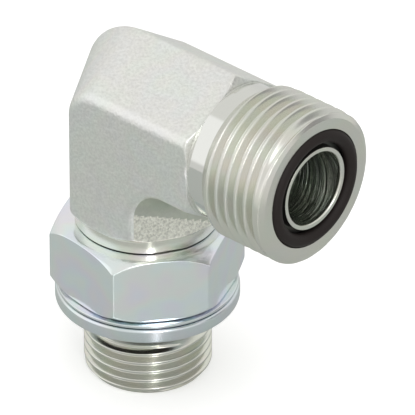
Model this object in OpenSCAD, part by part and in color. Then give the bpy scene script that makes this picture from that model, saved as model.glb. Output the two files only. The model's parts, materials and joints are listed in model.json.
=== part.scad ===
// Adjustable ninety degree elbow for hydraulic tube. A male face seal end looks along +X
// and a parallel thread stud end points down, along -Z. The origin is the centre of the
// stud's end face, so the part stands on Z = 0 and the stud's axis is the Z axis.

/* [Forging] */
// Height of the arm's axis above the end face of the stud
arm_height = 38.8; // [36:0.1:46]
// Width across the two side flats of the forging
flat_width = 18.05; // [17.6:0.05:20]
// Distance of the middle between the side flats from the stud's axis, towards +Y
flat_shift = -0.275; // [-0.5:0.025:0.5]
// Height of a side flat, between its two long edges
flat_height = 10.2; // [9:0.1:11]
// Distance between the two opposite ridges of the section
ridge_width = 21.8; // [21:0.1:24]
// Distance of the ridges, where the forging dies met, from the stud's axis, towards +Y
ridge_shift = 0.7; // [-1:0.05:1]
// Rounding of the long edges beside the flats
flat_edge_r = 1.8; // [0.5:0.1:2.4]
// Rounding of the ridges
ridge_edge_r = 1.2; // [0.3:0.1:2]
// Rounding of the outer corner of the elbow, at the side flat
outer_bend_r = 4.4; // [2:0.1:6]
// Rounding of the inner corner of the elbow, at the side flat
inner_bend_r = 5.5; // [2:0.1:7]
// Distance from the stud's axis to the turned end of the arm
arm_end_x = 15.3; // [14.8:0.1:16.5]
// Radius of the turned rim at the end of the arm
arm_rim_r = 9.5; // [9.3:0.05:9.9]

/* [Face seal end] */
// Distance from the stud's axis to the flat seal face
face_x = 28.6; // [28.4:0.1:36]
// Outside diameter of the face seal thread
face_thread_d = 20.64; // [20.2:0.02:21.2]
// Pitch of the face seal thread
face_pitch = 1.5875; // [1.5:0.0125:1.65]
// Number of thread grooves between the neck and the last land
face_grooves = 5; // [3:1:5]
// Width of the plain land between the last groove and the end chamfer
face_land_w = 0.75; // [0.3:0.05:1.2]
// Length of the chamfer at the seal face
face_chamfer_x = 0.5; // [0.3:0.05:0.9]
// Height of the chamfer at the seal face, from the flat ring up to the thread crests
face_chamfer_h = 0.87; // [0.5:0.01:1.2]
// Depth of the smooth neck below the thread crests
neck_depth = 1.12; // [1:0.01:1.5]
// Length of the smooth neck
neck_length = 2.5; // [1.5:0.1:2.6]
// Width of the flat ring around the seal groove
face_flat_w = 1.45; // [1.2:0.05:1.7]
// Width of the seal groove
seal_groove_w = 2.425; // [2.2:0.025:2.6]
// Width of the lip between the seal groove and the bore
seal_lip_w = 0.625; // [0.5:0.025:0.9]
// Depth of the seal groove
seal_groove_depth = 1.3; // [1:0.05:1.5]
// Thickness of the face seal ring's cord
face_ring_cord = 1.78; // [1.5:0.01:1.8]

/* [Stud end] */
// Outside diameter of the stud thread
stud_d = 16.62; // [16.4:0.02:17]
// Pitch of the stud thread
stud_pitch = 1.337; // [1.2:0.001:1.4]
// Number of thread grooves below the relief
port_grooves = 4; // [3:1:4]
// Number of thread grooves above the relief, under the locknut
nut_grooves = 5; // [3:1:5]
// Height of the first full crest above the end face
first_crest_z = 1.1; // [0.8:0.05:1.5]
// Height of the chamfer at the stud's end, from the end face up to the thread crests
stud_chamfer_h = 0.86; // [0.5:0.01:1.2]
// Depth of the relief between the two threaded stretches, below the thread crests
relief_depth = 1.06; // [0.9:0.01:1.3]
// Height of the relief's upper end above the end face
relief_top_z = 13.25; // [13:0.05:14]
// Diameter of the passage through the stud
stud_bore_d = 9; // [7:0.1:9.6]
// Step of the turned collar under the forging, outside the thread crests
collar_step = 0.99; // [0.8:0.01:1.2]
// Height of the collar's lower face above the end face
collar_z = 22.55; // [22.3:0.05:24]
// Height of the turned collar
collar_h = 1.85; // [1:0.05:2.2]

/* [Locknut] */
// Wall of the locknut between the thread crests and a flat
nut_wall = 2.69; // [2.4:0.01:3.2]
// Distance from a flat to the circle where the chamfers meet the nut's end faces
nut_face_step = 0.7; // [0.4:0.05:1]
// Angle of the nut's corner chamfers
nut_chamfer_angle = 30; // [15:1:35]
// Angle by which the nut is turned on the stud
nut_turn = -8.3; // [-30:0.1:30]
// Gap between the nut's upper face and the collar
nut_top_gap = 0.2; // [0.1:0.05:0.5]

/* [Seal stack] */
// Distance by which the thin backing washer stands out past the nut's flats
washer_rim = 0.8; // [0.5:0.05:1]
// Thickness of the backing washer
washer_t = 0.6; // [0.5:0.05:0.8]
// Distance by which the retaining ring stands out past the washer
ring_rim = 0.15; // [0.1:0.05:0.5]
// Thickness of the retaining ring
ring_t = 2; // [1.8:0.05:2.2]
// Rounding of the retaining ring's outer edges
ring_edge_r = 0.35; // [0.1:0.05:0.6]
// Height of the retaining ring's underside above the end face
ring_z = 10.55; // [10.4:0.05:10.8]
// Thickness of the stud ring's cord
stud_ring_cord = 2.3; // [2:0.05:2.3]

/* [Clearances] */
// Clearance on radius between the nut's bore and the stud thread
nut_play = 0.06; // [0.03:0.01:0.1]
// Clearance on radius between the washer's bore and the stud thread
washer_play = 0.15; // [0.1:0.01:0.3]
// Clearance between the stud ring and the bore of the retaining ring
ring_play = 0.07; // [0.03:0.01:0.2]
// Clearance between the stacked faces and around the seal rings
seat_play = 0.03; // [0.02:0.01:0.06]

/* [Hidden] */
$fn = 96;

// Colours of the finishes
STEEL = "silver";
NUT_STEEL = "lightsteelblue";
RUBBER = "dimgray";

// Length by which a cut or a joined piece runs past the face that it crosses
LAP = 1;
// Share of the pitch that is left flat on a crest, for sixty and fifty-five degree threads
CREST_60 = 0.125;
CREST_55 = 0.165;
// Depth of the thread as a share of its pitch
DEPTH_60 = 0.6134;
DEPTH_55 = 0.6403;
// Half of the angle between the two flanks
HALF_60 = 30;
HALF_55 = 27.5;
// Angle of the drill's point and of the turned chamfers on the forging
DRILL_POINT = 59;
TURNED_ANGLE = 30;

// Half sizes of the forging's section, and where its two flats lie
half_flat = flat_width / 2;
back_flat = flat_shift + half_flat;
front_flat = flat_shift - half_flat;
half_edge = flat_height / 2;
ridge = ridge_width / 2;
// Section of the forging, as [outward from the elbow's inside, across]
SECTION = [[ridge, ridge_shift], [half_edge, back_flat], [-half_edge, back_flat],
           [-ridge, ridge_shift], [-half_edge, front_flat], [half_edge, front_flat]];
SECTION_R = [ridge_edge_r, flat_edge_r, flat_edge_r,
             ridge_edge_r, flat_edge_r, flat_edge_r];
// Offsets of the two bends' centres from the crossing of the axes
outer_offset = half_edge - outer_bend_r;
inner_offset = half_edge + inner_bend_r;

// Stations along the face seal end
face_land_x = face_x - face_chamfer_x - face_land_w;
first_face_groove_x = face_land_x - face_grooves * face_pitch;
neck_end_x = arm_end_x + neck_length;
seal_floor_x = face_x - seal_groove_depth;
// Radii of the face seal end, from the outside in
face_crest_r = face_thread_d / 2;
neck_r = face_crest_r - neck_depth;
face_flat_r = face_crest_r - face_chamfer_h;
seal_groove_r = face_flat_r - face_flat_w;
seal_lip_r = seal_groove_r - seal_groove_w;
arm_bore_r = seal_lip_r - seal_lip_w;
face_ring_r = seal_groove_r - seat_play - face_ring_cord / 2;

// Stations along the stud
stud_crest = CREST_55 * stud_pitch;
port_top_z = first_crest_z + port_grooves * stud_pitch + stud_crest;
nut_thread_z = relief_top_z + relief_depth + stud_crest;
// Radii of the stud
stud_r = stud_d / 2;
relief_r = stud_r - relief_depth;
collar_r = stud_r + collar_step;

// Stations of the nut and the seal stack, from below
washer_z = ring_z + ring_t + seat_play;
nut_z = washer_z + washer_t + seat_play;
nut_top_z = collar_z - nut_top_gap;
nut_h = nut_top_z - nut_z;
// Radii of the nut and the seal stack
nut_flat_r = stud_r + nut_wall;
nut_corner_r = nut_flat_r / cos(30);
nut_bore_r = stud_r + nut_play;
washer_bore_r = stud_r + washer_play;
washer_r = nut_flat_r + washer_rim;
stud_ring_r = relief_r + seat_play + stud_ring_cord / 2;
ring_bore_r = stud_ring_r + stud_ring_cord / 2 + ring_play;
ring_r = washer_r + ring_rim;

function unit(v) = v / norm(v);

// Points where the rounding of corner i leaves its two sides, and the rounding's centre
function corner_side(pts, i, step) = unit(pts[(i + step + len(pts)) % len(pts)] - pts[i]);
function corner_half(pts, i) =
    acos(corner_side(pts, i, 1) * corner_side(pts, i, -1)) / 2;
function corner_leave(pts, r, i, step) =
    pts[i] + corner_side(pts, i, step) * r[i] / tan(corner_half(pts, i));
function corner_centre(pts, r, i) =
    pts[i] + unit(corner_side(pts, i, 1) + corner_side(pts, i, -1))
        * r[i] / sin(corner_half(pts, i));

// A convex outline with each corner rounded to its own radius
module rounded_outline(pts, r) {
    polygon([for (i = [0:len(pts) - 1]) for (step = [-1, 1]) corner_leave(pts, r, i, step)]);
    for (i = [0:len(pts) - 1])
        translate(corner_centre(pts, r, i)) circle(r[i]);
}

// The part of the forging's section, moved outward by a shift, from the axis up to a reach
module section_band(shift, reach) {
    intersection() {
        translate([shift, 0]) rounded_outline(SECTION, SECTION_R);
        translate([0, front_flat - LAP]) square([reach, flat_width + 2 * LAP]);
    }
}

// Points [radius, distance] of one thread groove that starts at distance a
function groove(a, pitch, crest_r, depth, half_angle, crest) =
    let (flank = depth * tan(half_angle), wide = pitch - crest)
    [[crest_r, a], [crest_r - depth, a + flank],
     [crest_r - depth, a + wide - flank], [crest_r, a + wide]];

// Points of a row of grooves, with a flat crest after each
function grooves(a, n, pitch, crest_r, depth, half_angle, crest) =
    [for (i = [0:n - 1]) each groove(a + i * pitch, pitch, crest_r, depth, half_angle, crest)];

// Turns a profile of [radius, distance] points round the arm's axis, towards +X
module turned_arm() {
    translate([0, 0, arm_height]) rotate([0, 90, 0]) rotate_extrude() children();
}

// A quarter turn of the section between the arm and the leg, about an axis along Y. The
// section's middle lies at the given shift from that axis. Standing the turn up swaps its
// two sides, so the section is mirrored first.
module quarter_bend(centre_x, centre_z, shift, reach) {
    translate([centre_x, 0, centre_z]) rotate([90, 0, 0]) rotate([0, 0, 90])
        rotate_extrude(angle = 90) mirror([0, 1]) section_band(shift, reach);
}

// Straight arm of the forging, with its end turned to a cone
module forged_arm() {
    cone_x = (ridge + LAP - arm_rim_r) * tan(TURNED_ANGLE);
    intersection() {
        translate([-outer_offset, 0, arm_height]) rotate([0, 90, 0])
            linear_extrude(arm_end_x + outer_offset) rounded_outline(SECTION, SECTION_R);
        turned_arm() polygon([[0, -ridge], [ridge + LAP, -ridge], [ridge + LAP, arm_end_x - cone_x],
                              [arm_rim_r, arm_end_x], [0, arm_end_x]]);
    }
}

// Straight leg of the forging, with its lower end turned to a cone above the collar
module forged_leg() {
    collar_top = collar_z + collar_h;
    cone_h = (ridge + LAP - collar_r) * tan(TURNED_ANGLE);
    intersection() {
        translate([0, 0, collar_z]) linear_extrude(arm_height + outer_offset - collar_z)
            rounded_outline(SECTION, SECTION_R);
        rotate_extrude() polygon([[0, collar_z], [collar_r, collar_z],
                                  [collar_r, collar_top], [ridge + LAP, collar_top + cone_h],
                                  [ridge + LAP, arm_height + ridge], [0, arm_height + ridge]]);
    }
}

// The forging: arm, leg, rounded outer corner and filleted inner corner
module forging() {
    forged_arm();
    forged_leg();
    quarter_bend(-outer_offset, arm_height + outer_offset, -outer_offset, ridge);
    quarter_bend(inner_offset, arm_height - inner_offset, inner_offset, inner_offset);
}

// Turned neck, thread and end chamfer of the face seal end
module face_seal_end() {
    turned_arm() polygon(concat(
        [[0, 0], [neck_r, 0], [neck_r, neck_end_x],
         [face_crest_r, first_face_groove_x - CREST_60 * face_pitch]],
        grooves(first_face_groove_x, face_grooves, face_pitch, face_crest_r,
                DEPTH_60 * face_pitch, HALF_60, CREST_60 * face_pitch),
        [[face_crest_r, face_x - face_chamfer_x], [face_flat_r, face_x], [0, face_x]]));
}

// Turned stud: end chamfer, port thread, relief, locknut thread
module stud() {
    depth = DEPTH_55 * stud_pitch;
    rotate_extrude() polygon(concat(
        [[0, 0], [stud_r - stud_chamfer_h, 0], [stud_r, first_crest_z]],
        grooves(first_crest_z + stud_crest, port_grooves, stud_pitch, stud_r, depth,
                HALF_55, stud_crest),
        [[stud_r, port_top_z], [relief_r, port_top_z + relief_depth],
         [relief_r, relief_top_z], [stud_r, relief_top_z + relief_depth]],
        grooves(nut_thread_z, nut_grooves, stud_pitch, stud_r, depth, HALF_55, stud_crest),
        [[stud_r, collar_z + LAP], [0, collar_z + LAP]]));
}

// Drilled passage of a given diameter from an open end down to its drill point
module drilled(d, length) {
    cylinder(d = d, h = length);
    translate([0, 0, length]) cylinder(d1 = d, d2 = 0, h = d / 2 / tan(DRILL_POINT));
}

module elbow_body() {
    color(STEEL) difference() {
        union() {
            forging();
            face_seal_end();
            stud();
        }
        // Groove for the face seal ring
        turned_arm() translate([seal_lip_r, seal_floor_x])
            square([seal_groove_w, seal_groove_depth + LAP]);
        // Passage through the arm
        translate([face_x + LAP, 0, arm_height]) rotate([0, -90, 0])
            drilled(2 * arm_bore_r, face_x + LAP);
        // Passage through the stud
        translate([0, 0, -LAP]) drilled(stud_bore_d, arm_height + LAP);
    }
}

module face_seal_o_ring() {
    color(RUBBER)
        turned_arm() translate([face_ring_r, seal_floor_x + seat_play + face_ring_cord / 2])
            circle(d = face_ring_cord);
}

// Profile that chamfers the corners of the nut at both ends
module nut_envelope() {
    face_r = nut_flat_r - nut_face_step;
    drop = (nut_corner_r + LAP - face_r) * tan(nut_chamfer_angle);
    rotate_extrude() polygon([[0, 0], [face_r, 0], [nut_corner_r + LAP, drop],
                              [nut_corner_r + LAP, nut_h - drop], [face_r, nut_h], [0, nut_h]]);
}

module locknut() {
    color(NUT_STEEL) translate([0, 0, nut_z]) difference() {
        intersection() {
            rotate([0, 0, nut_turn]) cylinder(r = nut_corner_r, h = nut_h, $fn = 6);
            nut_envelope();
        }
        translate([0, 0, -LAP]) cylinder(r = nut_bore_r, h = nut_h + 2 * LAP);
    }
}

module backup_washer() {
    color(NUT_STEEL) translate([0, 0, washer_z]) rotate_extrude()
        polygon([[washer_bore_r, 0], [washer_r, 0], [washer_r, washer_t / 3],
                 [washer_r - washer_t / 2, washer_t], [washer_bore_r, washer_t]]);
}

module retaining_ring() {
    color(NUT_STEEL) translate([0, 0, ring_z]) rotate_extrude() {
        translate([ring_bore_r, 0]) square([ring_r - ring_edge_r - ring_bore_r, ring_t]);
        translate([ring_bore_r, ring_edge_r])
            square([ring_r - ring_bore_r, ring_t - 2 * ring_edge_r]);
        for (z = [ring_edge_r, ring_t - ring_edge_r])
            translate([ring_r - ring_edge_r, z]) circle(ring_edge_r);
    }
}

module stud_o_ring() {
    color(RUBBER) translate([0, 0, washer_z - seat_play - stud_ring_cord / 2])
        rotate_extrude() translate([stud_ring_r, 0]) circle(d = stud_ring_cord);
}

elbow_body();
face_seal_o_ring();
locknut();
backup_washer();
retaining_ring();
stud_o_ring();
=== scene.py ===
"""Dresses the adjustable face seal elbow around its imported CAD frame, in one shared frame.

Every visible piece is a mesh that is built here from named sizes and rides on a CAD body. The
threads, the seal rings and the two loose rings come from geometry node trees, and the forging,
the turned faces and the locknut from lofted columns of rounded waypoints.
"""

import json
import logging
import math
from dataclasses import dataclass, field
from enum import Enum, IntEnum
from typing import Callable, Iterable, Sequence, Union

import bpy
import numpy as np
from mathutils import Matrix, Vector

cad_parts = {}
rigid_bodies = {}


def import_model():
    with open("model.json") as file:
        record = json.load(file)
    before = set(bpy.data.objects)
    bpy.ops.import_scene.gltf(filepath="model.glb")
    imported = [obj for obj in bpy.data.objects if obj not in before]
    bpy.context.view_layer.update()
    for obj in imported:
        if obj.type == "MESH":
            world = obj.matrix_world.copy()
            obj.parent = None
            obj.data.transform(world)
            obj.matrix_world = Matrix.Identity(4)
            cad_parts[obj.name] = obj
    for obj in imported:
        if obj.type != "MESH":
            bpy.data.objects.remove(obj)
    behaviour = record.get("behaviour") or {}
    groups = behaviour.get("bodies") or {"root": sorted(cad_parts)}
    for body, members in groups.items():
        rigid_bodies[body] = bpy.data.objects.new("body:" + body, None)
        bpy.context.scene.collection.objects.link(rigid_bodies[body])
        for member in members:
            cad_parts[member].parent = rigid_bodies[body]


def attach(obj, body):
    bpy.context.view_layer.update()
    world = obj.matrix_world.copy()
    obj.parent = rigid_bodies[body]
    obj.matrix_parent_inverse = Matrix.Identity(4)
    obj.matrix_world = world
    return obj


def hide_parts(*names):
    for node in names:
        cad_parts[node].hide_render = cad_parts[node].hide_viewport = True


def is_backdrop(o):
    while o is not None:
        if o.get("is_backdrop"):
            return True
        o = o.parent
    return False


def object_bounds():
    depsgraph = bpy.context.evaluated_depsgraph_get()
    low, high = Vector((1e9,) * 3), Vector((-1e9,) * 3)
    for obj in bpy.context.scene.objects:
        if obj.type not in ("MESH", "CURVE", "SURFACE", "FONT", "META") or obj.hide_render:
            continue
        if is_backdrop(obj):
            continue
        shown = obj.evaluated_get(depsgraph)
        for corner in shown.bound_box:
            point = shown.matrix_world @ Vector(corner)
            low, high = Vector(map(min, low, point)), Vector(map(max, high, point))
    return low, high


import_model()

LOG = logging.getLogger("elbow")
MM = 0.001
TAN30 = math.tan(math.radians(30.0))
DRILL_POINT = math.radians(59.0)

# Cuts of the meshes: pieces of a rounding, columns of a turned face and of a passage, and rows of
# one thread pitch.
ROUNDING_CUTS = 6
ROUND_STEPS = 192
BORE_STEPS = 128
PITCH_ROWS = 24
# A rounding takes less than half of a run, and a swept square becomes round at just under half its side.
RUN_SHARE = 0.46
ROUND_SHARE = 0.4999

Colour = tuple[float, float, float]
Place = tuple[float, float, float]
Socket = bpy.types.NodeSocket


class Body(str, Enum):
    """The CAD bodies on which the pieces ride."""

    ELBOW = "elbow"
    STACK = "seal_stack"
    NUT = "nut"


class Slot(str, Enum):
    """The material slots of the record."""

    BODY = "body_steel"
    FACE_SEAL = "face_seal_rubber"
    NUT = "nut_steel"
    WASHER = "washer_steel"
    RING = "ring_steel"
    STUD_SEAL = "stud_seal_rubber"


class Graph:
    """Adds nodes to one node tree and links them in the order in which a formula is read."""

    def __init__(self, tree: bpy.types.NodeTree) -> None:
        """Keeps the tree.

        Args:
            tree: The tree that receives the nodes.
        """
        self.tree = tree

    def add(self, kind: str, **props: object) -> bpy.types.Node:
        """Adds a node.

        Args:
            kind: The node's type name.
            **props: Attributes that are set on the node.

        Returns:
            The new node.
        """
        node = self.tree.nodes.new(kind)
        for name, value in props.items():
            setattr(node, name, value)
        return node

    def feed(self, target: Socket, value: object) -> None:
        """Links a socket, or sets a constant on it.

        Args:
            target: The input socket.
            value: An output socket, or a constant.
        """
        if isinstance(value, bpy.types.NodeSocket):
            self.tree.links.new(value, target)
        else:
            target.default_value = value

    def node(self, kind: str, inputs: dict[Union[str, int], object], **props: object) -> bpy.types.Node:
        """Adds a node and feeds its inputs.

        Args:
            kind: The node's type name.
            inputs: Values or sockets by input name or index.
            **props: Attributes that are set on the node.

        Returns:
            The new node.
        """
        made = self.add(kind, **props)
        for key, value in inputs.items():
            self.feed(made.inputs[key], value)
        return made

    def math(self, operation: str, *values: object, clamp: bool = False) -> Socket:
        """Adds a scalar math node.

        Args:
            operation: The operation's name.
            *values: One to three values or sockets.
            clamp: Whether the result is held between 0 and 1.

        Returns:
            The result's socket.
        """
        made = self.add("ShaderNodeMath", operation=operation, use_clamp=clamp)
        for i, value in enumerate(values):
            self.feed(made.inputs[i], value)
        return made.outputs[0]

    def ramp(self, value: object, low: object, high: object, smooth: bool = False) -> Socket:
        """Maps a value from low..high to 0..1 and clamps it.

        Args:
            value: The value's socket.
            low: The value that gives 0.
            high: The value that gives 1.
            smooth: Whether the step is eased at both ends.

        Returns:
            The result's socket.
        """
        made = self.add("ShaderNodeMapRange", clamp=True)
        made.interpolation_type = "SMOOTHSTEP" if smooth else "LINEAR"
        for key, item in (("Value", value), ("From Min", low), ("From Max", high)):
            self.feed(made.inputs[key], item)
        return made.outputs["Result"]

    def mix(self, factor: object, a: object, b: object) -> Socket:
        """Mixes two colours.

        Args:
            factor: The share of the second colour.
            a: The first colour.
            b: The second colour.

        Returns:
            The mixed colour's socket.
        """
        made = self.add("ShaderNodeMix", data_type="RGBA")
        self.feed(made.inputs[0], factor)
        self.feed(made.inputs[6], a)
        self.feed(made.inputs[7], b)
        return made.outputs[2]

    def shade(self, colour: Socket, mask: Socket, low: float, span: float) -> Socket:
        """Multiplies a colour by a value that grows with a mask.

        Args:
            colour: The colour.
            mask: The mask, from 0 to 1.
            low: The value where the mask is 0.
            span: What the value gains where the mask is 1.

        Returns:
            The new colour's socket.
        """
        value = self.math("ADD", low, self.math("MULTIPLY", mask, span))
        return self.node("ShaderNodeVectorMath", {0: colour, "Scale": value}, operation="SCALE").outputs[0]

    def bump(self, height: Socket, strength: float, distance: float, under: object = None) -> Socket:
        """Adds a bump.

        Args:
            height: The height's socket.
            strength: The bump's strength.
            distance: Its depth in millimetres.
            under: The normal on which it lies, or None for the mesh's own.

        Returns:
            The normal's socket.
        """
        made = self.node("ShaderNodeBump", {"Strength": strength, "Distance": distance * MM,
                                            "Height": height})
        if under is not None:
            self.feed(made.inputs["Normal"], under)
        return made.outputs[0]


def rgba(colour: Colour) -> tuple[float, float, float, float]:
    """Adds an alpha of one to a colour.

    Args:
        colour: Red, green and blue.

    Returns:
        The colour with alpha.
    """
    return (*colour, 1.0)


class ShaderGroup:
    """A shared shader effect that is made once and used by several finishes."""

    _made: dict[str, bpy.types.ShaderNodeTree] = {}

    def __init__(self, name: str, inputs: dict[str, object], outputs: dict[str, str],
                 fill: Callable[[Graph, bpy.types.Node, bpy.types.Node], None]) -> None:
        """Makes the group's tree, unless it exists.

        Args:
            name: The group's name.
            inputs: Inputs with their defaults, a number or a vector.
            outputs: Output names with their socket types.
            fill: Adds the nodes between the group's input and output.
        """
        self.name = name
        if name in self._made:
            return
        tree = bpy.data.node_groups.new(name, "ShaderNodeTree")
        for key, value in inputs.items():
            kind = "NodeSocketVector" if isinstance(value, tuple) else "NodeSocketFloat"
            made = tree.interface.new_socket(name=key, in_out="INPUT", socket_type=kind)
            made.default_value = value
        for key, kind in outputs.items():
            tree.interface.new_socket(name=key, in_out="OUTPUT", socket_type=kind)
        graph = Graph(tree)
        fill(graph, graph.add("NodeGroupInput"), graph.add("NodeGroupOutput"))
        self._made[name] = tree

    def use(self, graph: Graph, **inputs: object) -> bpy.types.Node:
        """Adds the group to a material.

        Args:
            graph: The material's graph.
            **inputs: Values by input name, with underscores for spaces.

        Returns:
            The group's node.
        """
        node = graph.add("ShaderNodeGroup", node_tree=self._made[self.name])
        for key, value in inputs.items():
            graph.feed(node.inputs[key.replace("_", " ")], value)
        return node


def fill_grain(g: Graph, source: bpy.types.Node, sink: bpy.types.Node) -> None:
    """Fills the shot blasted grain group: a pebbled height and a fine mottle.

    Args:
        g: The group's graph.
        source: The group's input node.
        sink: The group's output node.
    """
    where = g.add("ShaderNodeTexCoord").outputs["Object"]
    scale = source.outputs["Scale"]
    pits = g.node("ShaderNodeTexNoise", {"Vector": where, "Scale": scale, "Detail": 3.0, "Roughness": 0.62})
    cells = g.node("ShaderNodeTexVoronoi", {"Vector": where, "Scale": scale, "Randomness": 1.0},
                   feature="SMOOTH_F1")
    broad = g.node("ShaderNodeTexNoise", {"Vector": where, "Scale": g.math("MULTIPLY", scale, 0.12),
                                          "Detail": 2.0, "Roughness": 0.5})
    height = g.math("ADD", g.math("MULTIPLY", pits.outputs[0], 0.65),
                    g.math("MULTIPLY", cells.outputs["Distance"], 0.5))
    g.feed(sink.inputs["Height"], g.math("ADD", height, g.math("MULTIPLY", broad.outputs[0], 0.8)))
    g.feed(sink.inputs["Mottle"], g.ramp(pits.outputs[0], 0.3, 0.7, smooth=True))


def fill_film(g: Graph, source: bpy.types.Node, sink: bpy.types.Node) -> None:
    """Fills the zinc film group: slow colour changes of the passivated layer.

    Args:
        g: The group's graph.
        source: The group's input node.
        sink: The group's output node.
    """
    where = g.add("ShaderNodeTexCoord").outputs["Object"]
    slow = g.node("ShaderNodeTexNoise", {"Vector": where, "Scale": source.outputs["Scale"],
                                         "Detail": 2.5, "Roughness": 0.55})
    wave_angle = g.math("MULTIPLY", slow.outputs[0], 26.0)
    made = g.add("ShaderNodeCombineColor")
    # The three colours wave a third of a turn apart, so the tint wanders round white.
    for i, shift in enumerate((0.0, 2.1, 4.2)):
        wave = g.math("SINE", g.math("ADD", wave_angle, shift))
        g.feed(made.inputs[i], g.math("ADD", 1.0, g.math("MULTIPLY", wave, source.outputs["Strength"])))
    g.feed(sink.inputs["Tint"], made.outputs[0])


def fill_turning(g: Graph, source: bpy.types.Node, sink: bpy.types.Node) -> None:
    """Fills the tool mark group: fine lines along an axis, as left by a lathe.

    Args:
        g: The group's graph.
        source: The group's input node.
        sink: The group's output node.
    """
    where = g.add("ShaderNodeTexCoord").outputs["Object"]
    parts = g.node("ShaderNodeSeparateXYZ", {0: where})
    along = g.math("ADD", g.math("MULTIPLY", parts.outputs[0], source.outputs["X"]),
                   g.math("MULTIPLY", parts.outputs[2], source.outputs["Z"]))
    spread = g.node("ShaderNodeCombineXYZ", {0: g.math("MULTIPLY", along, source.outputs["Lines"]),
                                             1: g.math("MULTIPLY", parts.outputs[1], 60.0)})
    lines = g.node("ShaderNodeTexNoise", {"Vector": spread.outputs[0], "Scale": 1.0, "Detail": 4.0,
                                          "Roughness": 0.7})
    g.feed(sink.inputs["Height"], lines.outputs[0])


def fill_strip(g: Graph, source: bpy.types.Node, sink: bpy.types.Node) -> None:
    """Fills the strip group: the share of an upright bright strip in a direction.

    Args:
        g: The group's graph.
        source: The group's input node.
        sink: The group's output node.
    """
    parts = g.node("ShaderNodeSeparateXYZ", {0: source.outputs["Direction"]})
    azimuth = g.math("ARCTAN2", parts.outputs[0], g.math("MULTIPLY", parts.outputs[1], -1.0))
    away = g.math("ABSOLUTE", g.math("SUBTRACT", azimuth, source.outputs["Azimuth"]))
    across = g.ramp(away, source.outputs["Reach"], source.outputs["Core"], smooth=True)
    along = g.ramp(g.math("ABSOLUTE", parts.outputs[2]), 0.9, 0.75, smooth=True)
    g.feed(sink.inputs["Share"], g.math("MULTIPLY", across, along))


GRAIN = ShaderGroup("ShotBlastedGrain", {"Scale": 4000.0},
                    {"Height": "NodeSocketFloat", "Mottle": "NodeSocketFloat"}, fill_grain)
FILM = ShaderGroup("ZincFilm", {"Scale": 120.0, "Strength": 0.03}, {"Tint": "NodeSocketColor"}, fill_film)
TURNING = ShaderGroup("ToolMarks", {"Lines": 9000.0, "X": 1.0, "Z": 1.0},
                      {"Height": "NodeSocketFloat"}, fill_turning)
STRIP = ShaderGroup("UprightStrip",
                    {"Direction": (0.0, 0.0, 1.0), "Azimuth": 0.0, "Reach": 0.1, "Core": 0.05},
                    {"Share": "NodeSocketFloat"}, fill_strip)


def open_material(name: str) -> tuple[bpy.types.Material, Graph, bpy.types.Node]:
    """Makes a material and opens its nodes.

    Args:
        name: The material's name.

    Returns:
        The material, its graph and its Principled shader.
    """
    made = bpy.data.materials.new(name)
    made.use_nodes = True
    return made, Graph(made.node_tree), made.node_tree.nodes["Principled BSDF"]


@dataclass(frozen=True)
class Surface:
    """A surface whose material is made once."""

    name: str
    colour: Colour
    roughness: float

    def material(self) -> bpy.types.Material:
        """Makes the surface's material, unless it exists.

        Returns:
            The material.
        """
        known = bpy.data.materials.get(self.name)
        if known is not None:
            return known
        made, graph, shader = open_material(self.name)
        shader.inputs["Roughness"].default_value = self.roughness
        self.dress(graph, shader)
        return made

    def dress(self, g: Graph, shader: bpy.types.Node) -> None:
        """Gives the shader its colour and relief.

        Args:
            g: The material's graph.
            shader: Its Principled shader.
        """
        raise NotImplementedError


@dataclass(frozen=True)
class Finish(Surface):
    """Zinc plated steel, with blasted grain, tool marks and a thin film; depths in millimetres."""

    grain: float = 0.0
    grain_scale: float = 4000.0
    grain_depth: float = 0.08
    mottle: float = 0.0
    sheen_change: float = 0.06
    lines: float = 0.0
    line_scale: float = 9000.0
    line_depth: float = 0.02
    # Painted glints: the share by which the ridges of the tool marks are lighter in colour than their
    # valleys.
    glint_tone: float = 0.0
    along: tuple[float, float] = (1.0, 1.0)
    film: float = 0.02
    film_scale: float = 120.0

    def dress(self, g: Graph, shader: bpy.types.Node) -> None:
        """Gives the metal its film, and its grain and tool marks where it has them, with painted glints on
        the marks where a glint tone is set.

        Args:
            g: The material's graph.
            shader: Its Principled shader.
        """
        shader.inputs["Metallic"].default_value = 1.0
        tint = FILM.use(g, Scale=self.film_scale, Strength=self.film)
        filmed = g.node("ShaderNodeMix", {0: 1.0, 6: rgba(self.colour), 7: tint.outputs["Tint"]},
                        data_type="RGBA", blend_type="MULTIPLY")
        colour = filmed.outputs[2]
        normal = None
        if self.grain:
            grain = GRAIN.use(g, Scale=self.grain_scale)
            spots = grain.outputs["Mottle"]
            rough = g.math("ADD", self.roughness - self.sheen_change,
                           g.math("MULTIPLY", spots, 2.0 * self.sheen_change))
            g.feed(shader.inputs["Roughness"], rough)
            colour = g.shade(colour, spots, 1.0 - self.mottle, 2.0 * self.mottle)
            normal = g.bump(grain.outputs["Height"], self.grain, self.grain_depth)
        if self.lines:
            marks = TURNING.use(g, Lines=self.line_scale, X=self.along[0], Z=self.along[1])
            normal = g.bump(marks.outputs["Height"], self.lines, self.line_depth, normal)
            # Painted glints: lighter ridges and darker valleys along the tool marks.
            if self.glint_tone:
                glinting_ridges = g.ramp(marks.outputs["Height"], 0.42, 0.62, smooth=True)
                colour = g.shade(colour, glinting_ridges, 1.0 - self.glint_tone, self.glint_tone)
        g.feed(shader.inputs["Base Color"], colour)
        if normal is not None:
            g.feed(shader.inputs["Normal"], normal)


@dataclass(frozen=True)
class Rubber(Surface):
    """Satin nitrile rubber."""

    specular: float = 0.3
    grain_scale: float = 6000.0

    def dress(self, g: Graph, shader: bpy.types.Node) -> None:
        """Gives the rubber its colour and a faint grain.

        Args:
            g: The material's graph.
            shader: Its Principled shader.
        """
        shader.inputs["Base Color"].default_value = rgba(self.colour)
        shader.inputs["Specular IOR Level"].default_value = self.specular
        grain = GRAIN.use(g, Scale=self.grain_scale)
        g.feed(shader.inputs["Normal"], g.bump(grain.outputs["Height"], 0.1, 0.02))


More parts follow.
